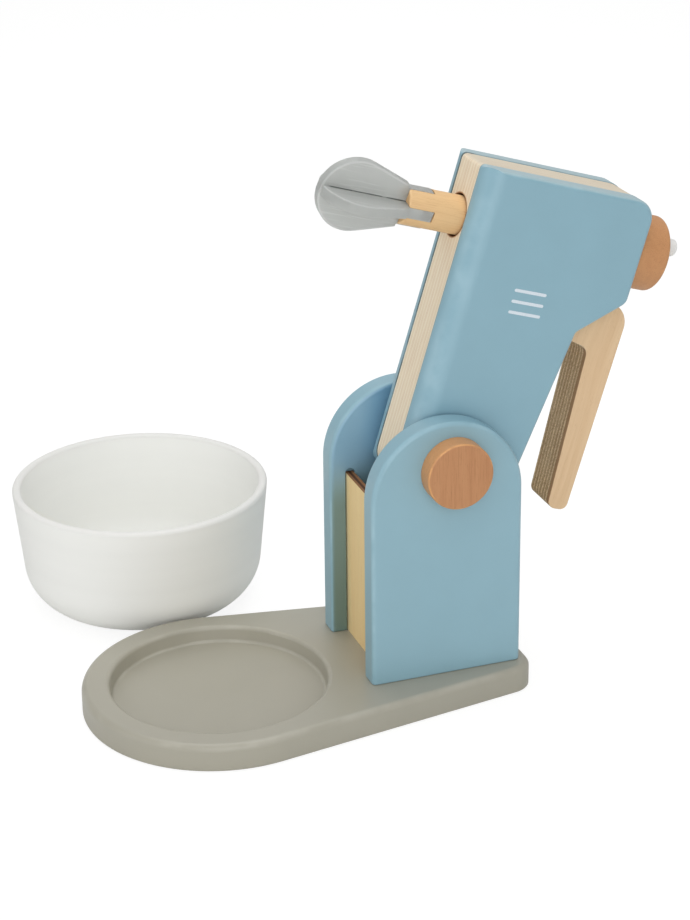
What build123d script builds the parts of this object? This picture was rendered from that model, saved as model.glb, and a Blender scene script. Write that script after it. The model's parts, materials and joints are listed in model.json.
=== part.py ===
from build123d import *
import math
import os

# Wooden toy stand mixer with a tilting head, a hand-turned beater and a loose bowl.
#
# The row frame, in millimetres: X runs from the round front end to the rear, +Z is up, and the XZ plane is
# the toy's middle plane. The origin is on the base's underside, straight below the centre of the bowl recess.
# The head is drawn in its own plane: u runs from the pivot to the nose and v from the pivot to the handle.

# Stock and fits
PLYWOOD = 21.0            # fifteen-ply board of the head's core and handle
THIN_PLY = 4.0            # three-ply board of the panels
CHEEK_BOARD = 12.0
PLATE_BOARD = 10.8
BASE_BOARD = 13.0
RUNNING_GAP = 0.08        # radial, shaft in bore
GLUE_GAP = 0.02           # radial, dowel or screw in its hole
END_GAP = 0.1             # along an axis, between parts that turn against each other
OVERCUT = 1.0             # how far a cutter reaches past the stock

# Base
FRONT_R = 64.8
REAR_MARGIN = 5.4         # base behind the cheeks
REAR_HALF = 43.2
REAR_CORNER_R = 12.4
BASE_TOP_ROUND = 3.2
BASE_FOOT_ROUND = 1.0
RECESS_R = 51.8
RECESS_FLOOR_R = 50.6
RECESS_DEPTH = 8.0
RECESS_RIM_ROUND = 2.3
RECESS_CORNER_ROUND = 1.5

# Stand: two cheeks, two panels, axle and knobs
CHEEK_FRONT_X = 64.9
CHEEK_LENGTH = 75.0
CHEEK_ARCH_Z = 103.4
CHEEK_ROUND = 2.2
CHEEK_FOOT_ROUND = 0.8
INNER_HALF = 22.8         # middle plane to a cheek's inner face
AXLE_BACK = 2.6           # axle behind the middle of the cheeks
AXLE_DOWN = 23.5          # and below their crown
AXLE_R = 5.0
PIVOT_KNOB_R = 16.1
PIVOT_KNOB_THICK = 9.5
KNOB_ROUND = 1.0
KNOB_FOOT_ROUND = 0.2
KNOB_SOCKET = 6.0
WASHER_R = 12.0
GROOVE_DEPTH = 3.0
GROOVE_END_PLAY = 0.15
GROOVE_FRONT_PLAY = 0.8   # the panel is pushed back in its groove
GROOVE_REAR_PLAY = 0.15
GROOVE_OVERRUN = 0.2
FRONT_PANEL_INSET = 8.4   # cheek's front edge to the front panel's front face
REAR_PANEL_INSET = 11.5   # cheek's rear edge to the rear panel's rear face
PANEL_EDGE_ROUND = 0.6
REST_GAP = 0.04           # left at either end of the tilt, so that stops meet without overlap

# Tilt, measured up from level
OPEN_ANGLE = 107.0
CLOSED_DIP = 3.0

# Head, in u and v
TAIL_U = -20.0
NOSE_U = 137.7
UNDER_V = -18.75
CORE_SET_BACK = 0.35      # of the core from the plates, at the nose and the underside
TOP_V = 69.9
TAPER_V = 39.8            # the back edge's height over the pivot
TAPER_RISE = 0.124        # and what it gains for each millimetre towards the nose
SLANT_TOP_U = 88.5
SLANT_FOOT_U = 70.3
TAIL_R = 12.0
HEEL_R = 10.0
NOSE_FOOT_R = 2.4
NOSE_TOP_R = 10.0
SHOULDER_R = 5.5
SLANT_FOOT_R = 3.0
PLATE_EDGE_ROUND = 2.0
PLATE_JOINT_ROUND = 0.4   # softens the plate's edge beside the core
FRONT_ROUND = 10.2        # wide round along the head's front edge

# Handle, in u and v
HANDLE_ROOT_U = 85.25
HANDLE_TOP_U = 80.4
HANDLE_TOP_V = 78.6
HANDLE_TOP_R = 10.8
HANDLE_END_U = -20.1
HANDLE_END_OUTER_V = 77.9
HANDLE_END_INNER_V = 67.5
HANDLE_END_OUTER_R = 3.5
HANDLE_END_INNER_R = 4.5
GAP_END_U = 61.3
GAP_END_V = 62.9
GAP_FOOT_U = 64.8
GAP_END_R = 5.2
GAP_FOOT_R = 3.0
HANDLE_EDGE_ROUND = 0.4

# Beater drive, along the spin axis
SPIN_U = 110.1
SPIN_REST = 11.3          # how far the blades rest from square to the head
SPINDLE_R = 9.2
STEM_R = 5.0
SPINDLE_END = 46.4        # below the pivot line
SLOT_END = 33.2
POCKET_R = 10.2
POCKET_DEPTH = 7.0
SPINDLE_EDGE_ROUND = 1.0
THIN_WASHER = 0.6
THIN_WASHER_R = 8.5
BEATER_KNOB_R = 18.1
BEATER_KNOB_THICK = 16.2
BEATER_KNOB_ROUND = 2.0
STEM_SOCKET = 6.0
PEG_R = 4.2
PEG_OFFSET_U = 5.4
PEG_OFFSET_Y = -4.0
PEG_STANDS_OUT = 8.7
PEG_SOCKET = 6.5
PEG_ROUND = 1.9

# Beater blades
BLADE = 5.0
BLADE_FIT = 0.06
BLADE_TAB_HALF = 9.2
BLADE_TAB_R = 1.5
BLADE_NECK_HALF = 10.7
BLADE_NECK = 46.6
BLADE_END_R = 17.5
BLADE_TIP_A = 87.9
BLADE_TIP_B = 87.1
BLADE_CROSSING = 72.0     # where the two half slits meet
CROSSING_GAP = 1.2
BLADE_EDGE_ROUND = 0.5

# Lamination dowels in the head: u, v
HEAD_DOWEL_R = 4.0
HEAD_DOWEL_DEPTH = 6.5
HEAD_DOWELS = [(30.0, 14.0), (80.0, 38.0), (129.0, 4.0)]

# Wood screws up through the base
FRONT_SCREW_INSET = 21.1
REAR_SCREW_INSET = 23.9
SCREW_R = 2.0
SCREW_SHANK_R = 1.5
SCREW_HEAD_R = 3.8
SCREW_HEAD_GAP = 0.1
SCREW_HEAD_DEPTH = 2.6
SCREW_LENGTH = 34.0
SCREW_SINK = 0.5
SCREW_TIP = 4.0
SCREW_TIP_R = 0.2
SCREW_THREADS = 6
THREAD_FILL = 0.6         # part of the pitch that a ridge takes up
DRIVE_WIDTH = 0.9
DRIVE_DEPTH = 0.8

# Bowl, as set down beside the base
BOWL_X = -3.2
BOWL_Y = 125.0
BOWL_HEIGHT = 63.5
BOWL_RIM_R = 65.2
BOWL_TURN_R = 61.1        # where the wall meets the bottom's round
BOWL_BOTTOM_ROUND = 23.8
BOWL_WALL = 4.5
BOWL_RIM_ROUND = 1.9

# Worked out from the sizes above
CHEEK_REAR_X = CHEEK_FRONT_X + CHEEK_LENGTH
REAR_X = CHEEK_REAR_X + REAR_MARGIN
PIVOT_X = CHEEK_FRONT_X + CHEEK_LENGTH / 2 + AXLE_BACK
PIVOT_Z = CHEEK_ARCH_Z + CHEEK_LENGTH / 2 - AXLE_DOWN
FRONT_PANEL_X = CHEEK_FRONT_X + FRONT_PANEL_INSET
REAR_PANEL_X = CHEEK_REAR_X - REAR_PANEL_INSET - THIN_PLY
SCREW_X = [CHEEK_FRONT_X + FRONT_SCREW_INSET, CHEEK_REAR_X - REAR_SCREW_INSET]
CHEEK_Y = INNER_HALF + CHEEK_BOARD / 2
OUTER_HALF = INNER_HALF + CHEEK_BOARD
HEAD_HALF = PLYWOOD / 2 + PLATE_BOARD
WASHER_THICK = INNER_HALF - HEAD_HALF - END_GAP
CORE_UNDER_V = UNDER_V + CORE_SET_BACK
CORE_NOSE_U = NOSE_U - CORE_SET_BACK
POCKET_ROOF = -CORE_UNDER_V - POCKET_DEPTH
KNOB_FOOT = TOP_V + THIN_WASHER + END_GAP
UPWARD = (Align.CENTER, Align.CENTER, Align.MIN)
HEAD_PLANE = Plane(
    origin=(PIVOT_X, 0, PIVOT_Z),
    x_dir=(-math.cos(math.radians(OPEN_ANGLE)), 0, math.sin(math.radians(OPEN_ANGLE))),
    z_dir=(0, 1, 0),
)
SPIN_DIR = math.radians(SPIN_REST)
SPINDLE_PLANE = Plane(
    origin=(SPIN_U, 0, 0),
    x_dir=(math.cos(SPIN_DIR), 0, -math.sin(SPIN_DIR)),
    z_dir=(0, -1, 0),
)
FRONT_PANEL_TOP = (
    PIVOT_Z
    - (PIVOT_X - FRONT_PANEL_X) * math.tan(math.radians(CLOSED_DIP))
    + UNDER_V / math.cos(math.radians(CLOSED_DIP))
    - REST_GAP
)
LEAN = math.radians(OPEN_ANGLE - 90)
REAR_PANEL_TOP = (
    PIVOT_Z
    + TAIL_U / math.cos(LEAN)
    - (REAR_PANEL_X + THIN_PLY - PIVOT_X) * math.tan(LEAN)
    - REST_GAP
)


def taper(u):
    """Height v of the head's back edge at u."""
    return TAPER_V + TAPER_RISE * u


def outline(corners):
    """Face inside a closed outline whose corners are (x, y, radius)."""
    points = [(x, y) for x, y, _ in corners]
    path = FilletPolyline(*points, radius=[r for _, _, r in corners], close=True)
    return make_face(path.edges())


def tube_bore(radius, depth, plane):
    """Cutter for a round hole that starts on a plane and runs along its normal."""
    return plane * extrude(Circle(radius), depth)


def edges_at(edges, axis, value):
    """Those edges that lie wholly at one height along an axis."""
    return edges.filter_by_position(axis, value - 0.01, value + 0.01)


def board_rims(board, thickness):
    """Edges round both faces of a board that lies on z = 0."""
    return edges_at(board.edges(), Axis.Z, 0) + edges_at(board.edges(), Axis.Z, thickness)


def in_head(solid):
    """Carry a piece drawn in the head's plane to where the head rests."""
    return HEAD_PLANE.location * solid


def in_spindle(solid):
    """Carry a piece drawn about the spin axis, with z towards the beater's tip."""
    return HEAD_PLANE.location * SPINDLE_PLANE.location * solid


def disc(radius, thickness, edge_round):
    """Knob blank: a turned disc on z = 0 with a softened outer rim."""
    blank = extrude(Circle(radius), thickness)
    blank = fillet(edges_at(blank.edges(), Axis.Z, thickness), edge_round)
    return fillet(edges_at(blank.edges(), Axis.Z, 0), KNOB_FOOT_ROUND)


# ---------------------------------------------------------------- stand


def screw_planes():
    """Screw positions on the base's underside, each pointing up."""
    return [Plane(origin=(x, side * CHEEK_Y, 0)) for x in SCREW_X for side in (-1, 1)]


def screw_cutter(radius):
    """Hole and countersink for one screw, drawn up from the underside."""
    hole = extrude(Circle(radius), SCREW_LENGTH + SCREW_SINK)
    sink = Cone(SCREW_HEAD_R, radius, SCREW_HEAD_DEPTH, align=UPWARD)
    mouth = extrude(Circle(SCREW_HEAD_R), SCREW_SINK)
    return hole + Pos(0, 0, SCREW_SINK) * sink + mouth


def base_board():
    """Board with a round front end, a narrower rear and the recess for the bowl."""
    rear_x = REAR_X - REAR_CORNER_R
    rear_y = REAR_HALF - REAR_CORNER_R
    rounds = [Circle(FRONT_R)] + [Pos(rear_x, s * rear_y) * Circle(REAR_CORNER_R) for s in (-1, 1)]
    board = extrude(make_hull([e for r in rounds for e in r.edges()]), BASE_BOARD)
    board = fillet(edges_at(board.edges(), Axis.Z, BASE_BOARD), BASE_TOP_ROUND)
    board = fillet(edges_at(board.edges(), Axis.Z, 0), BASE_FOOT_ROUND)
    floor_z = BASE_BOARD - RECESS_DEPTH
    board -= Pos(0, 0, floor_z) * Cone(RECESS_FLOOR_R, RECESS_R, RECESS_DEPTH, align=UPWARD)
    rim = edges_at(board.edges(), Axis.Z, BASE_BOARD).filter_by(GeomType.CIRCLE).filter_by(
        lambda edge: abs(edge.radius - RECESS_R) < 0.01
    )
    board = fillet(rim, RECESS_RIM_ROUND)
    board = fillet(edges_at(board.edges(), Axis.Z, floor_z), RECESS_CORNER_ROUND)
    for plane in screw_planes():
        board -= plane.location * screw_cutter(SCREW_R + GLUE_GAP)
    return board


def panel_groove(panel_x, top_z):
    """Cutter for the round-ended groove that holds one edge of a panel, in the cheek's own plane."""
    width = THIN_PLY + GROOVE_FRONT_PLAY + GROOVE_REAR_PLAY
    middle = panel_x - GROOVE_FRONT_PLAY + width / 2
    height = top_z + GROOVE_OVERRUN - BASE_BOARD
    straight = Pos(middle, BASE_BOARD + height / 2) * Rectangle(width, height)
    end = Pos(middle, BASE_BOARD + height) * Circle(width / 2)
    return extrude(straight + end, GROOVE_DEPTH)


def cheek(side):
    """Arch-topped side of the stand: side is -1 for the near one and 1 for the far one."""
    half = CHEEK_LENGTH / 2
    centre = Pos(CHEEK_FRONT_X + half, CHEEK_ARCH_Z)
    face = centre * (Rectangle(CHEEK_LENGTH, CHEEK_ARCH_Z, align=(Align.CENTER, Align.MAX)) + Circle(half))
    board = extrude(face, CHEEK_BOARD)
    board = fillet(board_rims(board, CHEEK_BOARD), CHEEK_ROUND)
    board = split(board, Plane(origin=(0, BASE_BOARD, 0), z_dir=(0, 1, 0)), keep=Keep.TOP)
    board = fillet(edges_at(board.edges(), Axis.Y, BASE_BOARD), CHEEK_FOOT_ROUND)
    board -= panel_groove(FRONT_PANEL_X, FRONT_PANEL_TOP)
    board -= panel_groove(REAR_PANEL_X, REAR_PANEL_TOP)
    board -= Pos(PIVOT_X, PIVOT_Z) * extrude(Circle(AXLE_R + GLUE_GAP), CHEEK_BOARD)
    inner = Plane(origin=(0, INNER_HALF, 0), x_dir=(-1, 0, 0), z_dir=(0, 1, 0))
    far = inner.location * mirror(board, about=Plane.YZ)
    for x in SCREW_X:
        far -= Pos(x, CHEEK_Y, 0) * screw_cutter(SCREW_R + GLUE_GAP)
    return far if side > 0 else mirror(far, about=Plane.XZ)


def panel(front_x, top_z):
    """Three-ply panel held in the two cheeks' grooves."""
    half = INNER_HALF + GROOVE_DEPTH - GROOVE_END_PLAY
    height = top_z - BASE_BOARD
    board = Pos(front_x + THIN_PLY / 2, 0, BASE_BOARD + height / 2) * Box(THIN_PLY, 2 * half, height)
    return fillet(board.edges().filter_by(Axis.Z), PANEL_EDGE_ROUND)


def base_screw():
    """Countersunk wood screw, pointing up, with its head on z = 0."""
    length = SCREW_LENGTH - SCREW_TIP
    core = extrude(Circle(SCREW_SHANK_R), length)
    tip = Cone(SCREW_SHANK_R, SCREW_TIP_R, SCREW_TIP, align=UPWARD)
    head = Cone(SCREW_HEAD_R - SCREW_HEAD_GAP, SCREW_SHANK_R, SCREW_HEAD_DEPTH, align=UPWARD)
    screw = core + Pos(0, 0, length) * tip + head
    pitch = (length - BASE_BOARD) / SCREW_THREADS
    for turn in range(SCREW_THREADS):
        ridge = Cone(SCREW_R, SCREW_SHANK_R, pitch * THREAD_FILL, align=UPWARD)
        screw += Pos(0, 0, BASE_BOARD + turn * pitch) * ridge
    arm = Box(SCREW_HEAD_R, DRIVE_WIDTH, 2 * DRIVE_DEPTH)
    drive = arm + Rot(0, 0, 90) * arm
    return screw - drive


def base_screws():
    """The four screws that hold the cheeks, driven from the underside."""
    return [p.location * Pos(0, 0, SCREW_SINK) * base_screw() for p in screw_planes()]


def pivot_axle():
    """Dowel through both cheeks and the head, with its ends in the knobs."""
    half = OUTER_HALF + KNOB_SOCKET - END_GAP
    return Pos(PIVOT_X, 0, PIVOT_Z) * Rot(90, 0, 0) * Cylinder(AXLE_R, 2 * half)


def pivot_knob(side):
    """Dyed disc glued on one end of the axle."""
    knob = disc(PIVOT_KNOB_R, PIVOT_KNOB_THICK, KNOB_ROUND)
    knob -= extrude(Circle(AXLE_R + GLUE_GAP), KNOB_SOCKET)
    outward = Plane(origin=(PIVOT_X, side * OUTER_HALF, PIVOT_Z), x_dir=(1, 0, 0), z_dir=(0, side, 0))
    return outward.location * knob


def pivot_washers():
    """The two spacers that keep the head in the middle of the fork."""
    ring = Circle(WASHER_R) - Circle(AXLE_R + RUNNING_GAP)
    planes = [
        Plane(origin=(PIVOT_X, side * INNER_HALF, PIVOT_Z), x_dir=(1, 0, 0), z_dir=(0, -side, 0))
        for side in (-1, 1)
    ]
    return [extrude(plane * ring, WASHER_THICK) for plane in planes]


# ---------------------------------------------------------------- head


def dowel_cutters():
    """Holes for the lamination dowels, through the core and part of each plate."""
    half = PLYWOOD / 2 + HEAD_DOWEL_DEPTH
    return [Pos(u, v, 0) * Cylinder(HEAD_DOWEL_R + GLUE_GAP, 2 * half) for u, v in HEAD_DOWELS]


def axle_bore():
    """Running hole for the pivot axle."""
    return Cylinder(AXLE_R + RUNNING_GAP, 2 * (HEAD_HALF + OVERCUT))


def plate_outline():
    """Side view of a head plate."""
    return outline([
        (TAIL_U, UNDER_V, TAIL_R),
        (NOSE_U, UNDER_V, NOSE_FOOT_R),
        (NOSE_U, TOP_V, NOSE_TOP_R),
        (SLANT_TOP_U, TOP_V, SHOULDER_R),
        (SLANT_FOOT_U, taper(SLANT_FOOT_U), SLANT_FOOT_R),
        (TAIL_U, taper(TAIL_U), HEEL_R),
    ])


def core_outline():
    """Side view of the core, with the handle and the finger gap."""
    return outline([
        (TAIL_U, CORE_UNDER_V, TAIL_R),
        (CORE_NOSE_U, CORE_UNDER_V, NOSE_FOOT_R),
        (CORE_NOSE_U, TOP_V, NOSE_TOP_R),
        (HANDLE_ROOT_U, TOP_V, 0),
        (HANDLE_TOP_U, HANDLE_TOP_V, HANDLE_TOP_R),
        (HANDLE_END_U, HANDLE_END_OUTER_V, HANDLE_END_OUTER_R),
        (HANDLE_END_U, HANDLE_END_INNER_V, HANDLE_END_INNER_R),
        (GAP_END_U, GAP_END_V, GAP_END_R),
        (GAP_FOOT_U, taper(GAP_FOOT_U), GAP_FOOT_R),
        (TAIL_U, taper(TAIL_U), HEEL_R),
    ])


def head_core():
    """Plywood board that is the head's middle layer and the handle in one piece."""
    plain = extrude(core_outline(), PLYWOOD)
    eased = fillet(board_rims(plain, PLYWOOD), HANDLE_EDGE_ROUND)
    core = Pos(0, 0, -PLYWOOD / 2) * (eased + (plain & extrude(plate_outline(), PLYWOOD)))
    core -= axle_bore()
    drive = Plane(origin=(SPIN_U, CORE_UNDER_V, 0), x_dir=(1, 0, 0), z_dir=(0, 1, 0))
    core -= tube_bore(STEM_R + RUNNING_GAP, TOP_V - CORE_UNDER_V + OVERCUT, drive)
    core -= tube_bore(POCKET_R, POCKET_DEPTH, drive)
    for cutter in dowel_cutters():
        core -= cutter
    return in_head(core)


def front_round_cutter():
    """What the wide round takes off a plate's front edge, along its whole length."""
    across = Plane(origin=(TAIL_U - OVERCUT, 0, 0), x_dir=(0, 1, 0), z_dir=(1, 0, 0))
    centre = Pos(UNDER_V + FRONT_ROUND, PLATE_BOARD - FRONT_ROUND)
    corner = centre * Rectangle(
        FRONT_ROUND + OVERCUT, FRONT_ROUND + OVERCUT, align=(Align.MAX, Align.MIN)
    )
    return extrude(across * (corner - centre * Circle(FRONT_ROUND)), NOSE_U - TAIL_U + 2 * OVERCUT)


def head_plate(side):
    """Painted plate glued on one side of the core, with a wide round along its front edge."""
    plate = extrude(plate_outline(), PLATE_BOARD)
    plate = fillet(edges_at(plate.edges(), Axis.Z, PLATE_BOARD), PLATE_EDGE_ROUND)
    plate = fillet(edges_at(plate.edges(), Axis.Z, 0), PLATE_JOINT_ROUND)
    plate = Pos(0, 0, PLYWOOD / 2) * (plate - front_round_cutter())
    plate -= axle_bore()
    for cutter in dowel_cutters():
        plate -= cutter
    return in_head(plate if side > 0 else mirror(plate, about=Plane.XY))


def head_dowels():
    """Dowels that line up the core and the plates."""
    length = PLYWOOD + 2 * HEAD_DOWEL_DEPTH - 2 * END_GAP
    return [in_head(Pos(u, v, 0) * Cylinder(HEAD_DOWEL_R, length)) for u, v in HEAD_DOWELS]


def spindle_washers():
    """Thin rings that the spindle's shoulder and the knob turn against."""
    ring = extrude(Circle(THIN_WASHER_R) - Circle(STEM_R + RUNNING_GAP), THIN_WASHER)
    return [in_spindle(Pos(0, 0, foot) * ring) for foot in (POCKET_ROOF, -TOP_V - THIN_WASHER)]


# ---------------------------------------------------------------- beater


def spindle():
    """Turned dowel with a cross-slotted end for the blades and a long stem up to the knob."""
    shoulder = POCKET_ROOF + THIN_WASHER + END_GAP
    stem_top = -KNOB_FOOT - STEM_SOCKET + END_GAP
    body = Pos(0, 0, shoulder) * extrude(Circle(SPINDLE_R), SPINDLE_END - shoulder)
    width = BLADE + 2 * BLADE_FIT
    slot = Pos(0, 0, SLOT_END) * Box(3 * SPINDLE_R, width, SPINDLE_END - SLOT_END, align=UPWARD)
    body = body - slot - Rot(0, 0, 90) * slot
    body = fillet(edges_at(body.edges(), Axis.Z, SPINDLE_END), SPINDLE_EDGE_ROUND)
    body += Pos(0, 0, stem_top) * extrude(Circle(STEM_R), shoulder - stem_top)
    return in_spindle(body)


def blade_face(tip):
    """Outline of one blade: a tab, a shoulder, straight flares and a round end that reaches the tip."""
    centre = tip - BLADE_END_R
    reach = math.hypot(BLADE_NECK_HALF, centre - BLADE_NECK)
    flare = math.acos(BLADE_END_R / reach) - math.atan2(centre - BLADE_NECK, BLADE_NECK_HALF)
    tangent = (BLADE_END_R * math.cos(flare), centre + BLADE_END_R * math.sin(flare))
    mirror_of = (-tangent[0], tangent[1])
    edges = [
        Line((-BLADE_TAB_HALF, SLOT_END), (BLADE_TAB_HALF, SLOT_END)),
        Line((BLADE_TAB_HALF, SLOT_END), (BLADE_TAB_HALF, BLADE_NECK)),
        Line((BLADE_TAB_HALF, BLADE_NECK), (BLADE_NECK_HALF, BLADE_NECK)),
        Line((BLADE_NECK_HALF, BLADE_NECK), tangent),
        ThreePointArc(tangent, (0, tip), mirror_of),
        Line(mirror_of, (-BLADE_NECK_HALF, BLADE_NECK)),
        Line((-BLADE_NECK_HALF, BLADE_NECK), (-BLADE_TAB_HALF, BLADE_NECK)),
        Line((-BLADE_TAB_HALF, BLADE_NECK), (-BLADE_TAB_HALF, SLOT_END)),
    ]
    return make_face(edges)


def beater_blade(turn, tip, slit_from, slit_to):
    """One of two blades that slide into each other through half-length slits."""
    upright = Plane(origin=(0, 0, 0), x_dir=(1, 0, 0), z_dir=(0, -1, 0))
    blank = extrude(blade_face(tip), BLADE)
    tab_corners = edges_at(blank.edges().filter_by(Axis.Z), Axis.Y, SLOT_END)
    blank = fillet(tab_corners, BLADE_TAB_R)
    flared = board_rims(blank, BLADE).filter_by(lambda edge: edge.center().Y > BLADE_NECK + BLADE_FIT)
    blank = fillet(flared, BLADE_EDGE_ROUND)
    slit = Pos(0, (slit_from + slit_to) / 2) * Rectangle(BLADE + 2 * BLADE_FIT, slit_to - slit_from)
    blank = Pos(0, 0, -BLADE / 2) * (blank - extrude(slit, BLADE))
    return in_spindle(Rot(0, 0, turn) * upright.location * blank)


def beater_knob():
    """Dyed disc on top of the head that turns the beater."""
    knob = disc(BEATER_KNOB_R, BEATER_KNOB_THICK, BEATER_KNOB_ROUND)
    knob -= extrude(Circle(STEM_R + GLUE_GAP), STEM_SOCKET)
    foot = Plane(origin=(SPIN_U, KNOB_FOOT, 0), x_dir=(1, 0, 0), z_dir=(0, 1, 0))
    socket = peg_foot().location * Pos(0, 0, -GLUE_GAP) * extrude(Circle(PEG_R + GLUE_GAP), 2 * PEG_SOCKET)
    return in_head(foot.location * knob - socket)


def peg_foot():
    """Where the crank peg stands in its socket, with z out of the knob."""
    socket_v = KNOB_FOOT + BEATER_KNOB_THICK - PEG_SOCKET
    return Plane(origin=(SPIN_U + PEG_OFFSET_U, socket_v, PEG_OFFSET_Y), x_dir=(1, 0, 0), z_dir=(0, 1, 0))


def crank_peg():
    """Round peg that the child turns the knob by."""
    length = PEG_SOCKET + PEG_STANDS_OUT
    peg = extrude(Circle(PEG_R), length)
    peg = fillet(edges_at(peg.edges(), Axis.Z, length), PEG_ROUND)
    return in_head(peg_foot().location * peg)


# ---------------------------------------------------------------- bowl


def bowl_profile(inset):
    """Half section of the bowl's outer form, or of its inside when inset by the wall."""
    lean = math.atan2(BOWL_RIM_R - BOWL_TURN_R, BOWL_HEIGHT - BOWL_BOTTOM_ROUND)
    centre = (BOWL_TURN_R - BOWL_BOTTOM_ROUND, BOWL_BOTTOM_ROUND)
    radius = BOWL_BOTTOM_ROUND - inset
    turn = (centre[0] + radius * math.cos(lean), centre[1] - radius * math.sin(lean))
    middle = (centre[0] + radius * math.sin(math.pi / 4), centre[1] - radius * math.cos(math.pi / 4))
    bottom = (centre[0], centre[1] - radius)
    top_r = turn[0] + (BOWL_HEIGHT - turn[1]) * math.tan(lean)
    return bottom, middle, turn, (top_r, BOWL_HEIGHT)


def bowl():
    """Deep round bowl with a wide bottom round and a soft rim."""
    bottom, middle, turn, top = bowl_profile(0)
    in_bottom, in_middle, in_turn, in_top = bowl_profile(BOWL_WALL)
    section = make_face([
        Line((0, bottom[1]), bottom),
        ThreePointArc(bottom, middle, turn),
        Line(turn, top),
        Line(top, in_top),
        Line(in_top, in_turn),
        ThreePointArc(in_turn, in_middle, in_bottom),
        Line(in_bottom, (0, in_bottom[1])),
        Line((0, in_bottom[1]), (0, bottom[1])),
    ])
    solid = revolve(Plane.XZ * section, Axis.Z)
    solid = fillet(edges_at(solid.edges(), Axis.Z, BOWL_HEIGHT), BOWL_RIM_ROUND)
    return Pos(BOWL_X, BOWL_Y, 0) * solid


def pieces():
    """Every piece by node name."""
    a_slit = (SLOT_END - OVERCUT, BLADE_CROSSING + CROSSING_GAP / 2)
    b_slit = (BLADE_CROSSING - CROSSING_GAP / 2, BLADE_TIP_B + OVERCUT)
    return {
        "base_board": base_board(),
        "cheek_near": cheek(-1),
        "cheek_far": cheek(1),
        "front_panel": panel(FRONT_PANEL_X, FRONT_PANEL_TOP),
        "rear_panel": panel(REAR_PANEL_X, REAR_PANEL_TOP),
        "base_screws": base_screws(),
        "pivot_axle": pivot_axle(),
        "pivot_knob_near": pivot_knob(-1),
        "pivot_knob_far": pivot_knob(1),
        "pivot_washers": pivot_washers(),
        "head_core": head_core(),
        "head_plate_near": head_plate(-1),
        "head_plate_far": head_plate(1),
        "head_dowels": head_dowels(),
        "spindle_washers": spindle_washers(),
        "spindle": spindle(),
        "beater_blade_a": beater_blade(0, BLADE_TIP_A, *a_slit),
        "beater_blade_b": beater_blade(90, BLADE_TIP_B, *b_slit),
        "beater_knob": beater_knob(),
        "crank_peg": crank_peg(),
        "bowl": bowl(),
    }


os.makedirs("parts", exist_ok=True)
for node, shape in pieces().items():
    solids = shape if isinstance(shape, list) else [shape]
    body = Compound(children=solids) if len(solids) > 1 else solids[0]
    export_step(body, f"parts/{node}.step")
    print(node, round(sum(s.volume for s in solids)))
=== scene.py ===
import json
import math

import bmesh
import bpy
from mathutils import Matrix, Vector

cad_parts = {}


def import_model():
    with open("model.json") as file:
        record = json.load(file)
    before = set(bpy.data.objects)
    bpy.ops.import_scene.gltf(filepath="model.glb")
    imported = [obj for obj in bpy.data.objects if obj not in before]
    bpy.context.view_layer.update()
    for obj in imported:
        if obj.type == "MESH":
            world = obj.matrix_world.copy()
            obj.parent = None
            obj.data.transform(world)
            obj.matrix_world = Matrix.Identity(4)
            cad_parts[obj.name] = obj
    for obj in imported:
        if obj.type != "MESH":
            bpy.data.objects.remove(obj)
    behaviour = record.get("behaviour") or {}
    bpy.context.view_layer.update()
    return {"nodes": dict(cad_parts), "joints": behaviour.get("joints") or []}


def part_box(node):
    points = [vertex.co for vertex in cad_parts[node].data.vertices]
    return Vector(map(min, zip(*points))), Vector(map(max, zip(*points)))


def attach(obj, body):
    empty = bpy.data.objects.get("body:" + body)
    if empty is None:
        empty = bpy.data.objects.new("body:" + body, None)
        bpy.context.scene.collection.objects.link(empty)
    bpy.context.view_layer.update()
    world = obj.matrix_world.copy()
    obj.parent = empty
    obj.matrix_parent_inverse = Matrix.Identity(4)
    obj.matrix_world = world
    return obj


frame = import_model()
nodes = frame["nodes"]
joints = {joint["name"]: joint for joint in frame["joints"]}

# Sizes and places are in millimetres, in the row frame: x to the rear, y to the far side, z up.
MM = 0.001


def box_mm(node):
    """Lowest and highest corner of a CAD node."""
    return [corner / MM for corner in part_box(node)]


# The tilting head's own directions: u from the pivot to the nose, v from the pivot to the handle
PIVOT = Vector(joints["head_tilt"]["pos_m"]) / MM
V_DIR = -Vector(joints["beater_spin"]["axis"])
U_DIR = Vector((-V_DIR.z, 0, V_DIR.x))

# The spindle runs along v at this u, out of this bore, with its blades turned this far from square
SPIN_U = (Vector(joints["beater_spin"]["pos_m"]) / MM - PIVOT).dot(U_DIR)
BORE_R = 10.2
SPIN_REST = math.radians(11.3)

# Head plywood. The finger gap's sawn side, painted darker as painted shade, fades in over this stretch
# of v, its darker brown near edge out over this stretch of y, and the underside's dark seam out over
# this stretch of v.
PLIES = 15
CORE_HALF = box_mm("head_core")[1].y
SAWN_V = (46, 48)
NEAR_BAND_Y = (-8.6, -7.2)
UNDERSIDE_V = (-16, -8)

# Fork: middle plane to the cheeks' inner faces, and where the painted shade on them changes
INNER_HALF = box_mm("cheek_far")[0].y
ARCH_Z = (78, 108)
ARCH_SHADE_X = (78, 94)
LOW_SHADE_Z = (16, 80)

# The two thin panels
FRONT_PANEL_X, REAR_PANEL_X = (box_mm(panel)[0].x for panel in ("front_panel", "rear_panel"))
PANEL_HALF = (box_mm("front_panel")[1].x - FRONT_PANEL_X) / 2

# Beater blades: thickness, half width and place of the neck, round end's radius and both tips,
# with places along the spindle measured from the pivot, against v
BLADE = 5.0
BLADE_NECK_HALF = 10.7
BLADE_NECK = 46.6
BLADE_END_R = 17.5
BLADE_TIP_A = 87.9
BLADE_TIP_B = 87.1

BOWL_LOW, BOWL_HIGH = box_mm("bowl")
BOWL_MIDDLE = (BOWL_LOW + BOWL_HIGH) / 2

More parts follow.
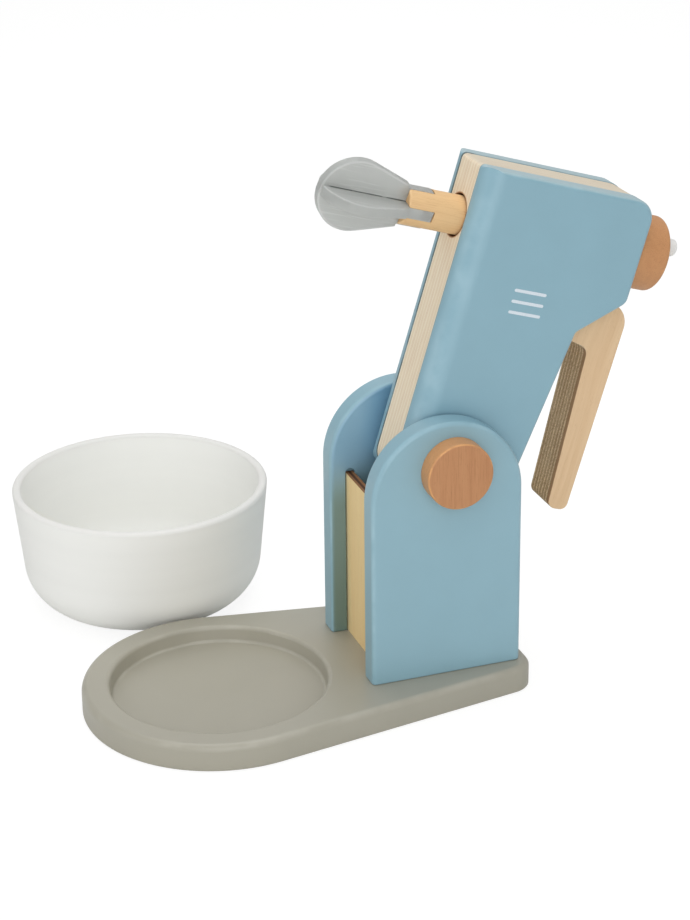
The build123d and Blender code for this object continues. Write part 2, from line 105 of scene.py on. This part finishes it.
# Three stripes of ink on the near plate: u of each, and where they run in v
PLATE_FACE_Y = box_mm("head_plate_near")[0].y
STRIPES_U = (85.3, 80.0, 74.75)
STRIPE_FROM, STRIPE_TO = 10.7, 27.4
STRIPE_HALF = 0.74
STRIPE_END_STEPS = 14
INK = 0.06

# What the lights point at, in metres
TOY_MIDDLE = Vector((0.06, 0.03, 0.12))

# Camera: its place in metres, its angles, and its focal length and lens axis in pixels of the image
CAMERA_AT = Vector((-0.26440, -0.93387, 0.53959))
AZIMUTH, ELEVATION, ROLL = (math.radians(angle) for angle in (-19.92, 20.37, -0.47))
IMAGE_WIDTH, IMAGE_HEIGHT = 690, 920
FOCAL_LENGTH = 2304.19
AXIS_ACROSS, AXIS_DOWN = 363.28, 344.53


def srgb(red, green, blue):
    """Linear colour of an 8-bit screen colour."""
    linear = []
    for level in (red / 255, green / 255, blue / 255):
        linear.append(level / 12.92 if level <= 0.04045 else ((level + 0.055) / 1.055) ** 2.4)
    return (*linear, 1.0)


def in_head(x, z):
    """u and v of a place in the row frame."""
    across, up = x - PIVOT.x, z - PIVOT.z
    return across * U_DIR.x + up * U_DIR.z, across * V_DIR.x + up * V_DIR.z


def turn_to_head(x, z):
    """u and v parts of a direction in the row frame."""
    return x * U_DIR.x + z * U_DIR.z, x * V_DIR.x + z * V_DIR.z


# ---------------------------------------------------------------- shader maths


class Value:
    """A socket in a node tree. Arithmetic on it adds Math nodes."""

    def __init__(self, shading, socket):
        self.shading = shading
        self.socket = socket

    def math(self, operation, *terms):
        return self.shading.node("Math", {"operation": operation}, dict(enumerate(terms)))

    def __add__(self, other):
        return self.math("ADD", self, other)

    def __radd__(self, other):
        return self.math("ADD", other, self)

    def __sub__(self, other):
        return self.math("SUBTRACT", self, other)

    def __rsub__(self, other):
        return self.math("SUBTRACT", other, self)

    def __mul__(self, other):
        return self.math("MULTIPLY", self, other)

    def __rmul__(self, other):
        return self.math("MULTIPLY", other, self)

    def __truediv__(self, other):
        return self.math("DIVIDE", self, other)

    def __mod__(self, other):
        return self.math("FLOORED_MODULO", self, other)

    def __pow__(self, other):
        return self.math("POWER", self, other)

    def __abs__(self):
        return self.math("ABSOLUTE", self)

    def __floor__(self):
        return self.math("FLOOR", self)


class Shading:
    """A node tree being made, of a material or of the world."""

    def __init__(self, tree):
        self.tree = tree

    def feed(self, node, key, value):
        """Sets a socket, found by its number, name or identifier, or links a Value to it."""
        socket = node.inputs[key] if isinstance(key, int) else next(
            s for s in node.inputs if key in (s.identifier, s.name) and not s.is_unavailable
        )
        if isinstance(value, Value):
            self.tree.links.new(value.socket, socket)
        else:
            socket.default_value = value

    def node(self, kind, settings, sockets, out=0):
        """Adds a node: its settings first, then the values or links of its sockets."""
        made = self.tree.nodes.new("ShaderNode" + kind)
        for name, setting in settings.items():
            setattr(made, name, setting)
        for key, value in sockets.items():
            self.feed(made, key, value)
        outs = [s for s in made.outputs if not s.is_unavailable]
        return Value(self, outs[out] if isinstance(out, int) else next(s for s in outs if s.name == out))


class Finish(Shading):
    """A material of one of the toy's pieces."""

    def __init__(self, name):
        self.material = bpy.data.materials.new(name)
        self.material.use_nodes = True
        super().__init__(self.material.node_tree)
        self.shader = self.tree.nodes["Principled BSDF"]

    def surface(self, **sockets):
        """Sets the shader's sockets; an underscore stands for a space."""
        for name, value in sockets.items():
            self.feed(self.shader, name.replace("_", " "), value)
        return self.material

    def place(self):
        """x, y and z on the resting piece."""
        at = self.node("TexCoord", {}, {}, "Object")
        return [self.node("SeparateXYZ", {}, {0: at}, axis) * (1 / MM) for axis in "XYZ"]

    def facing(self):
        """x, y and z of the resting piece's surface direction."""
        at = self.node("TexCoord", {}, {}, "Normal")
        return [self.node("SeparateXYZ", {}, {0: at}, axis) for axis in "XYZ"]

    def noise(self, x, y, z, detail=2.0, rough=0.5):
        """Smooth noise from 0 to 1 whose grains are about one unit of x, y and z."""
        at = self.node("CombineXYZ", {}, {0: x, 1: y, 2: z})
        sockets = {"Vector": at, "Scale": 1.0, "Detail": detail, "Roughness": rough}
        return self.node("TexNoise", {}, sockets)

    def ramp(self, value, low, high):
        """0 up to low, 1 from high on, smooth between."""
        sockets = {"Value": value, "From Min": low, "From Max": high}
        return self.node("MapRange", {"interpolation_type": "SMOOTHSTEP"}, sockets)

    def mix(self, factor, a, b):
        """Colour a where the factor is 0 and b where it is 1."""
        return self.node("Mix", {"data_type": "RGBA"}, {"Factor_Float": factor, "A_Color": a, "B_Color": b})

    def bump(self, height, depth):
        """Surface direction for a relief whose full height is depth millimetres."""
        return self.node("Bump", {}, {"Strength": 1.0, "Distance": depth * MM, "Height": height}, "Normal")

    def faces_along(self, part):
        """1 on the faces square to an axis; part is the surface direction's part along it."""
        return self.ramp(abs(part), 0.6, 0.8)


def on_rounds(squared):
    """1 on the rounds between faces square to an axis and faces along it, 0 on the faces.

    squared is the square of the surface direction's part along the axis.
    """
    return squared * (1 - squared) * 4


# ---------------------------------------------------------------- paint


def inner_face_painted_shade(finish, x, y, z):
    """Painted shade on the fork's inner faces: greener low down, bluer and darker towards the head in the
    arch.
    """
    # Painted shade in the arch, darker towards the head
    arch_shade = finish.mix(finish.ramp(x, *ARCH_SHADE_X), srgb(142, 183, 206), srgb(114, 157, 184))
    # Painted shade low down, with a green cast of painted light bounced off the panel
    low = finish.mix(finish.ramp(z, *LOW_SHADE_Z), srgb(106, 132, 126), srgb(118, 146, 145))
    inner = 1 - finish.ramp(abs(y), INNER_HALF + 0.1, INNER_HALF + 0.8)
    return [(inner, finish.mix(finish.ramp(z, *ARCH_Z), low, arch_shade))]


def nose_and_seam(finish, x, y, z):
    """The head's nose, paler as rubbed wear with a painted sheen, and the dark line along a plate's joint
    with the core.

    The line is strongest under the head.
    """
    nx, ny, nz = finish.facing()
    # Paler, greyer nose: rubbed wear and a painted sheen
    nose = finish.ramp(turn_to_head(nx, nz)[0], 0.4, 0.9) * 0.4
    v = in_head(x, z)[1]
    patchy = finish.ramp(finish.noise(x / 12, y / 12, z / 12), 0.30, 0.50)
    strength = (0.5 + patchy * 0.4) * (1 - finish.ramp(v, *UNDERSIDE_V) * 0.7)
    seam = (1 - finish.ramp(abs(y), CORE_HALF + 0.25, CORE_HALF + 0.8)) * strength
    return [(nose, srgb(196, 210, 206)), (seam, srgb(58, 78, 80))]


def paint(name, colour, rub_and_highlight, across_board, marks_and_painted_light=None):
    """Sprayed satin paint over wood: faint orange peel and grain, rounds lighter: rubbed wear and a painted
    highlight.

    across_board is 0, 1 or 2, the axis through the board; the last argument gives (share, colour) pairs,
    painted shade and painted sheen among them.
    """
    finish = Finish(name)
    x, y, z = finish.place()
    cloud = finish.noise(x / 18, y / 18, z / 18, 3.0)
    peel = finish.noise(x / 0.9, y / 0.9, z / 0.9)
    fibre = finish.noise(x / 0.7, y / 0.7, z / 26)
    # Lighter on the rounds in patches: rubbed wear and a painted highlight
    rub_and_highlight_share = on_rounds(finish.facing()[across_board] ** 2) * finish.ramp(cloud, 0.42, 0.75)
    dark = tuple(c * 0.93 for c in colour[:3]) + (1.0,)
    tone = finish.mix(rub_and_highlight_share * 0.55, finish.mix(cloud, dark, colour), rub_and_highlight)
    # Marks over the paint, painted shade and painted sheen among them
    for share, overlay_colour in marks_and_painted_light(finish, x, y, z) if marks_and_painted_light else ():
        tone = finish.mix(share, tone, overlay_colour)
    return finish.surface(
        Base_Color=tone,
        Roughness=0.40 + cloud * 0.12 - rub_and_highlight_share * 0.06,
        Normal=finish.bump(peel * 0.7 + fibre * 0.3, 0.045),
        Specular_IOR_Level=0.55,
        Coat_Weight=0.4,
        Coat_Roughness=0.32,
    )


def white_ink():
    """Pad-printed ink, a little uneven."""
    finish = Finish("white_ink")
    x, y, z = finish.place()
    speck = finish.noise(x / 0.5, y / 0.5, z / 0.5, 3.0)
    return finish.surface(
        Base_Color=finish.mix(speck, srgb(206, 219, 229), srgb(231, 238, 244)),
        Roughness=0.45 + speck * 0.15,
        Normal=finish.bump(speck, 0.02),
    )


# ---------------------------------------------------------------- wood


def grain(finish, along, across, depth, streak=30.0, fibre=0.5):
    """Wood grain: broad tone, fine fibres and short dark pores, each from 0 to 1."""
    sway = finish.noise(along / 45, across / 14, depth / 14, 1.0) * 2.4
    tone = finish.noise(along / streak / 2, across / 3.2 + sway, depth / 3.2, 3.0, 0.6)
    fine = finish.noise(along / streak * 2, across / fibre + sway * 2, depth / fibre, 2.0, 0.6)
    pores = finish.ramp(finish.noise(along / 2.2, across / 0.22, depth / 0.22, 1.0), 0.66, 0.78)
    return tone, fine, pores


def board_plies(finish, u, v, y):
    """Number of each ply from the near face, the glue lines, and the stretches where the glue is brown."""
    wander = finish.noise(u / 30, v / 30, y / 6)
    level = (y + CORE_HALF) / (2 * CORE_HALF / PLIES) + (wander - 0.5) * 0.3
    ply = math.floor(level)
    to_line = 0.5 - abs(level - ply - 0.5)
    line = 1 - finish.ramp(to_line, 0.03, 0.12)
    line_number = math.floor(level + 0.5)
    brown = line * finish.ramp(finish.noise(u / 16, v / 16, line_number * 4.1), 0.38, 0.66)
    return ply, line, brown


def board_edge(finish, u, v, nu, nv, ply, brown, fibre):
    """The board's edge: long and end grain in turn, brown glue lines, and a nose painted greyer and darker
    as painted shade.
    """
    crossed = ply % 2
    end_grain = crossed * abs(nv) + (1 - crossed) * abs(nu)
    ply_tone = finish.noise(ply * 3.7, u / 60, v / 60, 1.0)
    long_grain = finish.mix(ply_tone, srgb(240, 224, 196), srgb(250, 239, 217))
    edge = finish.mix(end_grain * 0.7, long_grain, srgb(236, 217, 187))
    edge = finish.mix(finish.ramp(fibre, 0.45, 0.80) * 0.30, edge, srgb(215, 189, 157))
    edge = finish.mix(brown * 0.55, edge, srgb(190, 138, 100))
    # Nose painted greyer and darker: painted shade
    return finish.mix(finish.ramp(nu, 0.5, 0.9) * 0.45, edge, srgb(196, 188, 174))


def sawn_gap(finish, u, v, y, ply, line):
    """The finger gap's sawn side: torn, painted darker as painted shade from the head, and browner along
    its near edge.
    """
    crossed = ply % 2
    speckle = finish.noise(u / 0.9, v / 0.9, y / 0.35, 2.0, 0.7)
    torn = finish.ramp(finish.noise(u / 24, v / 24, y / 0.5, 3.0, 0.6), 0.34, 0.66)
    sawn_tone = finish.mix(crossed * 0.55 + torn * 0.45, srgb(244, 222, 186), srgb(176, 146, 110))
    sawn_tone = finish.mix(finish.ramp(speckle, 0.42, 0.62) * 0.75, sawn_tone, srgb(150, 120, 86))
    sawn_tone = finish.mix(line * finish.ramp(speckle, 0.42, 0.60) * 0.55, sawn_tone, srgb(112, 86, 60))
    near_band = (1 - finish.ramp(y, *NEAR_BAND_Y)) * 0.85
    return finish.mix(near_band, sawn_tone, finish.mix(speckle, srgb(172, 134, 98), srgb(150, 112, 80)))


def bore_mouth(finish, u, y, edge):
    """The bore's wall and mouth painted dark brown, a painted shade in the gap round the spindle, paler at
    its fringe.
    """
    from_bore = ((u - SPIN_U) ** 2 + y ** 2) ** 0.5 - BORE_R
    edge = finish.mix(1 - finish.ramp(from_bore, 0.3, 0.9), edge, srgb(196, 152, 110))
    return finish.mix(1 - finish.ramp(from_bore, 0.05, 0.35), edge, srgb(128, 90, 58))


def head_plywood():
    """Birch plywood: face veneer on the sides of the handle, every ply on the edges."""
    finish = Finish("head_plywood")
    x, y, z = finish.place()
    u, v = in_head(x, z)
    nx, ny, nz = finish.facing()
    nu, nv = turn_to_head(nx, nz)
    ply, line, brown = board_plies(finish, u, v, y)
    fibre = finish.noise(u / 9, v / 9, y / 0.2, 3.0, 0.65)
    sawn = finish.ramp(nv * -1, 0.4, 0.8) * finish.ramp(v, *SAWN_V)
    edge = board_edge(finish, u, v, nu, nv, ply, brown, fibre)
    # The finger gap's side painted darker: painted shade from the head
    edge = finish.mix(sawn, edge, sawn_gap(finish, u, v, y, ply, line))
    edge = bore_mouth(finish, u, y, edge)
    tone, fine, flecks = grain(finish, u, v, y, 40.0, 0.6)
    veneer = finish.mix(tone, srgb(219, 183, 141), srgb(237, 207, 169))
    veneer = finish.mix(finish.ramp(fine, 0.5, 0.8) * 0.2, veneer, srgb(192, 150, 110))
    veneer = finish.mix(flecks * 0.25, veneer, srgb(150, 106, 68))
    is_face = finish.faces_along(ny)
    relief = finish.mix(is_face, fibre * (1 - line * 0.6) * (1 + sawn * 1.5), fine)
    return finish.surface(
        Base_Color=finish.mix(is_face, edge, veneer),
        Roughness=0.62 + fibre * 0.12,
        Normal=finish.bump(relief, 0.05),
        Specular_IOR_Level=0.35,
    )


def panel_veneer():
    """Three-ply panel: upright grain on its faces, plies on its edges."""
    finish = Finish("panel_veneer")
    x, y, z = finish.place()
    nx, ny, nz = finish.facing()
    tone, fine, pores = grain(finish, z, y, x, 50.0, 0.7)
    by_groove = finish.ramp(abs(y), INNER_HALF - 0.8, INNER_HALF - 0.2)
    face = finish.mix(tone, srgb(247, 209, 147), srgb(254, 232, 179))
    # Paler along the side edges by the grooves: a painted highlight of the rounded edge
    face = finish.mix(by_groove * 0.6, face, srgb(255, 240, 200))
    face = finish.mix(finish.ramp(fine, 0.5, 0.85) * 0.25, face, srgb(208, 170, 112))
    face = finish.mix(pores * 0.22, face, srgb(168, 126, 80))
    spacing = REAR_PANEL_X - FRONT_PANEL_X
    into_panel = (x - FRONT_PANEL_X) / spacing % 1 * spacing
    core = 1 - finish.ramp(abs(into_panel - PANEL_HALF), 0.55, 0.75)
    rim = finish.mix(core, srgb(150, 106, 70), srgb(86, 56, 36))
    return finish.surface(
        Base_Color=finish.mix(finish.faces_along(nx), rim, face),
        Roughness=0.58 + tone * 0.1,
        Normal=finish.bump(fine, 0.05),
        Specular_IOR_Level=0.35,
    )


def across_pivot_knob(x, y, z):
    """Place along, across and into the grain, as the three below also give it."""
    return z, x, y


def along_axle(x, y, z):
    return y, x, z


def along_spindle(x, y, z):
    u, v = in_head(x, z)
    return v, u - SPIN_U, y


def across_beater_knob(x, y, z):
    u, v = in_head(x, z)
    return y, u - SPIN_U, v


def axle_lathe(x, y, z):
    """Part of a direction along the axle."""
    return y


def spindle_lathe(x, y, z):
    """Part of a direction along the spindle."""
    return turn_to_head(x, z)[1]


def turned_wood(name, wood, place, lathe, side=0.0, contrast=0.35, rough=0.5):
    """Turned piece of the given wood, with a painted highlight on its rims; side is how much paler its
    round side is painted.
    """
    finish = Finish(name)
    turned = lathe(*finish.facing()) ** 2
    along, across, depth = place(*finish.place())
    # Patches and rounds where the painted highlight lies on the rims
    rub_and_highlight = finish.ramp(finish.noise(along / 7, across / 7, depth / 7), 0.40, 0.62)
    rim = on_rounds(turned) * (0.1 + rub_and_highlight * 0.9)
    tone, fine, pores = grain(finish, along, across, depth, 24.0, 0.45)
    colour = finish.mix(tone, wood["dark"], wood["light"])
    # Round side painted paler: painted light
    colour = finish.mix((1 - turned) * side, colour, wood["rub_and_highlight"])
    colour = finish.mix(finish.ramp(fine, 0.48, 0.82) * contrast, colour, wood["pore"])
    colour = finish.mix(pores * contrast, colour, wood["pore"])
    return finish.surface(
        Base_Color=finish.mix(rim * 0.55, colour, wood["rub_and_highlight"]),
        Roughness=rough + tone * 0.12,
        Normal=finish.bump(fine * 0.7 + pores * -0.3, 0.05),
        Specular_IOR_Level=0.4,
        Coat_Weight=0.08,
        Coat_Roughness=0.3,
    )


# ---------------------------------------------------------------- plastic and metal


def blade_rim(finish, across, along, tip):
    """Distance in from a blade's outline, which is a round end that narrows straight to the neck."""
    half = abs(across)
    centre = tip - BLADE_END_R
    reach = math.hypot(BLADE_NECK_HALF, centre - BLADE_NECK)
    flare = math.acos(BLADE_END_R / reach) - math.atan2(centre - BLADE_NECK, BLADE_NECK_HALF)
    beyond = along - centre
    from_round = BLADE_END_R - (across ** 2 + beyond ** 2) ** 0.5
    from_flare = BLADE_END_R - (half * math.cos(flare) + beyond * math.sin(flare))
    on_round = finish.ramp(beyond * math.cos(flare) - half * math.sin(flare), -0.5, 0.5)
    return from_round * on_round + from_flare * (1 - on_round)


def smoke_blade(name, quarter_turned, tip):
    """Smoky translucent plastic with painted light: a highlight on the rim, glints along it, shade at the
    crossing.

    quarter_turned is true for the blade that stands a quarter turn round from the first, and tip is
    how far the blade's end lies from the pivot, against v.
    """
    finish = Finish(name)
    x, y, z = finish.place()
    u, v = in_head(x, z)
    off = u - SPIN_U
    first = off * math.cos(SPIN_REST) - y * math.sin(SPIN_REST)
    second = off * math.sin(SPIN_REST) + y * math.cos(SPIN_REST)
    across, through = (second, first) if quarter_turned else (first, second)
    along = v * -1
    face = finish.ramp(abs(through), BLADE / 2 - 0.6, BLADE / 2 - 0.4)
    from_rim = abs(blade_rim(finish, across, along, tip) - 0.5)
    # Painted highlight along the rim
    lip_highlight = (1 - finish.ramp(from_rim, 0.15, 0.75)) * finish.ramp(along, BLADE_NECK, BLADE_NECK + 4)
    haze = finish.noise(x / 9, y / 9, z / 9)
    # White streaks along the blade: painted glints
    glint_noise = finish.noise(across / 1.1, along / 26, through / 6, 2.0, 0.6)
    streak = finish.ramp(glint_noise, 0.54, 0.72)
    swell = finish.noise(along / 6, 3.0, 0.0, 1.0)
    # Painted shade in the joint where the blades cross, uneven in width
    from_joint = abs(abs(across) - BLADE / 2 - 0.1)
    joint_shade = 1 - finish.ramp(from_joint / (0.3 + swell * 1.4), 0.12, 0.42)
    joint_shade = joint_shade * finish.ramp(swell, 0.30, 0.38) * face
    joint_shade = joint_shade * (1 - finish.ramp(along, tip - 5, tip - 3))
    tone = finish.mix(haze, srgb(208, 210, 207), srgb(219, 221, 218))
    tone = finish.mix(streak * face * 0.4, tone, srgb(246, 247, 246))
    tone = finish.mix(lip_highlight * face * 0.6, tone, srgb(242, 243, 242))
    return finish.surface(
        Base_Color=finish.mix(joint_shade * 0.9, tone, srgb(52, 60, 56)),
        Roughness=0.30 + haze * 0.10 + lip_highlight * 0.1,
        Normal=finish.bump(haze, 0.05),
        Transmission_Weight=0.5,
        IOR=1.35,
    )


def frosted_peg():
    """Pale grey plastic that lets a little light in."""
    finish = Finish("frosted_peg")
    x, y, z = finish.place()
    haze = finish.noise(x / 3, y / 3, z / 3, 3.0)
    return finish.surface(
        Base_Color=finish.mix(haze, srgb(240, 240, 237), srgb(249, 249, 246)),
        Roughness=0.30 + haze * 0.12,
        Normal=finish.bump(haze, 0.03),
        Transmission_Weight=0.1,
        IOR=1.49,
    )


def nylon():
    """Moulded washer plastic."""
    finish = Finish("nylon_washer")
    x, y, z = finish.place()
    flow = finish.noise(x / 9, y / 9, z / 9)
    speck = finish.noise(x / 0.6, y / 0.6, z / 0.6)
    return finish.surface(
        Base_Color=finish.mix(flow, srgb(220, 218, 210), srgb(232, 230, 222)),
        Roughness=0.5 + flow * 0.10,
        Normal=finish.bump(speck, 0.02),
        Specular_IOR_Level=0.35,
    )


def bowl_plastic():
    """White moulded plastic, rougher on the rim and painted darker there, a painted shade that dims its
    highlight.
    """
    finish = Finish("white_bowl")
    x, y, z = finish.place()
    out = ((x - BOWL_MIDDLE.x) ** 2 + (y - BOWL_MIDDLE.y) ** 2) ** 0.5
    flow = finish.noise(out / 9, z / 9, 0.0)
    speck = finish.noise(x / 0.6, y / 0.6, z / 0.6)
    # Rim painted darker: painted shade over its highlight
    rim = finish.ramp(z, BOWL_HIGH.z - 2.2, BOWL_HIGH.z - 0.8)
    white = finish.mix(flow, srgb(242, 242, 238), srgb(247, 247, 243))
    return finish.surface(
        Base_Color=finish.mix(rim, white, srgb(234, 233, 229)),
        Roughness=0.5 + flow * 0.10 + rim * 0.1,
        Normal=finish.bump(speck, 0.02),
        Specular_IOR_Level=0.35,
    )


def zinc():
    """Zinc-plated steel, spotted."""
    finish = Finish("zinc_screw")
    x, y, z = finish.place()
    spot = finish.noise(x / 0.8, y / 0.8, z / 0.8, 3.0)
    return finish.surface(
        Base_Color=finish.mix(spot, srgb(150, 152, 155), srgb(205, 206, 204)),
        Roughness=0.28 + spot * 0.22,
        Normal=finish.bump(spot, 0.02),
        Metallic=1.0,
    )


# ---------------------------------------------------------------- the toy


def dress_nodes():
    """Gives every CAD node its finish."""
    # Each wood's last colour is its painted highlight, also used for the paler round side
    beech = {
        "light": srgb(230, 191, 140),
        "dark": srgb(214, 170, 117),
        "pore": srgb(186, 134, 86),
        "rub_and_highlight": srgb(250, 214, 162),
    }
    dyed = {
        "light": srgb(203, 149, 104),
        "dark": srgb(181, 124, 82),
        "pore": srgb(144, 92, 54),
        "rub_and_highlight": srgb(240, 180, 116),
    }
    board = paint("grey_paint", srgb(170, 166, 151), srgb(187, 184, 171), 2)
    # The fork's blue is painted a little lighter than the head's, as painted light
    fork = paint("fork_paint", srgb(144, 183, 197), srgb(170, 203, 214), 1, inner_face_painted_shade)
    plates = paint("head_paint", srgb(140, 180, 195), srgb(167, 200, 212), 1, nose_and_seam)
    pivot_knob = turned_wood(
        "dyed_knob", dyed, across_pivot_knob, axle_lathe, side=0.35, contrast=0.4, rough=0.46
    )
    beater_knob = turned_wood(
        "dyed_beater_knob", dyed, across_beater_knob, spindle_lathe, side=0.15, contrast=0.4, rough=0.46
    )
    axle = turned_wood("beech_axle", beech, along_axle, axle_lathe)
    spindle = turned_wood("beech_spindle", beech, along_spindle, spindle_lathe, side=0.35)
    veneer = panel_veneer()
    washer = nylon()
    finishes = {
        "base_board": board,
        "cheek_near": fork,
        "cheek_far": fork,
        "front_panel": veneer,
        "rear_panel": veneer,
        "base_screws": zinc(),
        "pivot_axle": axle,
        "pivot_knob_near": pivot_knob,
        "pivot_knob_far": pivot_knob,
        "pivot_washers": washer,
        "head_core": head_plywood(),
        "head_plate_near": plates,
        "head_plate_far": plates,
        "head_dowels": axle,
        "spindle_washers": washer,
        "spindle": spindle,
        "beater_blade_a": smoke_blade("smoke_blade_a", False, BLADE_TIP_A),
        "beater_blade_b": smoke_blade("smoke_blade_b", True, BLADE_TIP_B),
        "beater_knob": beater_knob,
        "crank_peg": frosted_peg(),
        "bowl": bowl_plastic(),
    }
    for name, material in finishes.items():
        mesh = nodes[name].data
        mesh.materials.clear()
        mesh.materials.append(material)


def head_point(u, v, y):
    """Place in the row frame, in metres, of a point of the resting head."""
    x = PIVOT.x + u * U_DIR.x + v * V_DIR.x
    z = PIVOT.z + u * U_DIR.z + v * V_DIR.z
    return Vector((x, y, z)) * MM


def stripe_ring(bm, u, half, y):
    """Round-ended outline, at this y, of the stripe at u; half is half its width."""
    ring = []
    for middle, side in ((STRIPE_TO - STRIPE_HALF, 1), (STRIPE_FROM + STRIPE_HALF, -1)):
        for step in range(STRIPE_END_STEPS + 1):
            angle = math.pi * (step / STRIPE_END_STEPS - 0.5)
            around = u + side * half * math.sin(angle)
            along = middle + side * half * math.cos(angle)
            ring.append(bm.verts.new(head_point(around, along, y)))
    return ring


def printed_stripes():
    """Three round-ended stripes of ink on the near plate, each with its foot a little below the face."""
    bm = bmesh.new()
    for u in STRIPES_U:
        rings = [
            stripe_ring(bm, u, STRIPE_HALF, PLATE_FACE_Y + INK / 2),
            stripe_ring(bm, u, STRIPE_HALF, PLATE_FACE_Y - INK / 2),
            stripe_ring(bm, u, STRIPE_HALF - INK, PLATE_FACE_Y - INK),
        ]
        for low, high in zip(rings, rings[1:]):
            for i in range(len(low)):
                j = (i + 1) % len(low)
                bm.faces.new((low[i], low[j], high[j], high[i]))
        bm.faces.new(rings[-1])
        bm.faces.new(list(reversed(rings[0])))
    bmesh.ops.recalc_face_normals(bm, faces=bm.faces)
    mesh = bpy.data.meshes.new("printed_stripes")
    bm.to_mesh(mesh)
    bm.free()
    mesh.materials.append(white_ink())
    stripes = bpy.data.objects.new("printed_stripes", mesh)
    bpy.context.scene.collection.objects.link(stripes)
    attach(stripes, "head")


# ---------------------------------------------------------------- studio


def floor():
    """Pale floor that shows white to the camera and keeps a soft shadow."""
    bpy.ops.mesh.primitive_plane_add(size=14, location=(0, 0, -0.2 * MM))
    plane = bpy.context.object
    plane.name = "studio_floor"
    finish = Finish("studio_floor")
    finish.surface(Base_Color=srgb(236, 236, 234), Roughness=0.9, Specular_IOR_Level=0.1)
    seen = finish.node("LightPath", {}, {}, "Is Camera Ray")
    lit = Value(finish, finish.shader.outputs[0])
    glow = finish.node("Emission", {}, {"Color": (1, 1, 1, 1), "Strength": 1.14})
    both = finish.node("MixShader", {}, {0: seen * 0.75, 1: lit, 2: glow})
    finish.feed(finish.tree.nodes["Material Output"], "Surface", both)
    plane.data.materials.append(finish.material)


def world():
    """White surroundings to the camera and through the blades, dimmer and cooler as a light."""
    sky = bpy.data.worlds.new("studio")
    bpy.context.scene.world = sky
    sky.use_nodes = True
    shading = Shading(sky.node_tree)
    straight = shading.node("LightPath", {}, {}, "Is Camera Ray")
    through = shading.node("LightPath", {}, {}, "Is Transmission Ray")
    seen = shading.node("Math", {"operation": "MAXIMUM"}, {0: straight, 1: through})
    dim = shading.node("Background", {}, {"Color": (0.97, 0.98, 1, 1), "Strength": 0.4})
    white = shading.node("Background", {}, {"Color": (1, 1, 1, 1), "Strength": 1.0})
    both = shading.node("MixShader", {}, {0: seen, 1: dim, 2: white})
    shading.feed(shading.tree.nodes["World Output"], "Surface", both)


def softbox(name, place, size, power):
    """Square area light at place, in metres, that points at the toy."""
    light = bpy.data.lights.new(name, "AREA")
    light.shape = "SQUARE"
    light.size = size
    light.energy = power
    lamp = bpy.data.objects.new(name, light)
    lamp.location = place
    lamp.rotation_euler = (TOY_MIDDLE - lamp.location).to_track_quat("-Z", "Y").to_euler()
    bpy.context.scene.collection.objects.link(lamp)


def camera():
    """Camera in front of the near side, a little to the left and above."""
    back = Vector((
        math.sin(AZIMUTH) * math.cos(ELEVATION),
        -math.cos(AZIMUTH) * math.cos(ELEVATION),
        math.sin(ELEVATION),
    ))
    right = Vector((math.cos(AZIMUTH), math.sin(AZIMUTH), 0))
    turn = Matrix((right, back.cross(right), back)).transposed() @ Matrix.Rotation(ROLL, 3, "Z")
    lens = bpy.data.cameras.new("camera")
    lens.sensor_width = 36
    lens.lens = FOCAL_LENGTH / IMAGE_HEIGHT * lens.sensor_width
    lens.shift_x = (IMAGE_WIDTH / 2 - AXIS_ACROSS) / IMAGE_HEIGHT
    lens.shift_y = (AXIS_DOWN - IMAGE_HEIGHT / 2) / IMAGE_HEIGHT
    shot = bpy.data.objects.new("camera", lens)
    shot.matrix_world = Matrix.Translation(CAMERA_AT) @ turn.to_4x4()
    bpy.context.scene.collection.objects.link(shot)
    bpy.context.scene.camera = shot


def studio():
    """Floor, surroundings, lights and camera."""
    floor()
    world()
    softbox("key", (-0.5, -0.9, 1.5), 1.1, 3.2)
    softbox("front", (-0.3, -1.57, 0.7), 1.2, 9.9)
    softbox("left", (-1.6, -0.1, 0.55), 1.2, 3.4)
    softbox("top", (0.2, 0.3, 1.6), 1.4, 11.2)
    softbox("back", (0.6, 1.5, 0.9), 1.2, 1.5)
    camera()
    bpy.context.scene.view_settings.view_transform = "Standard"


dress_nodes()
printed_stripes()
studio()
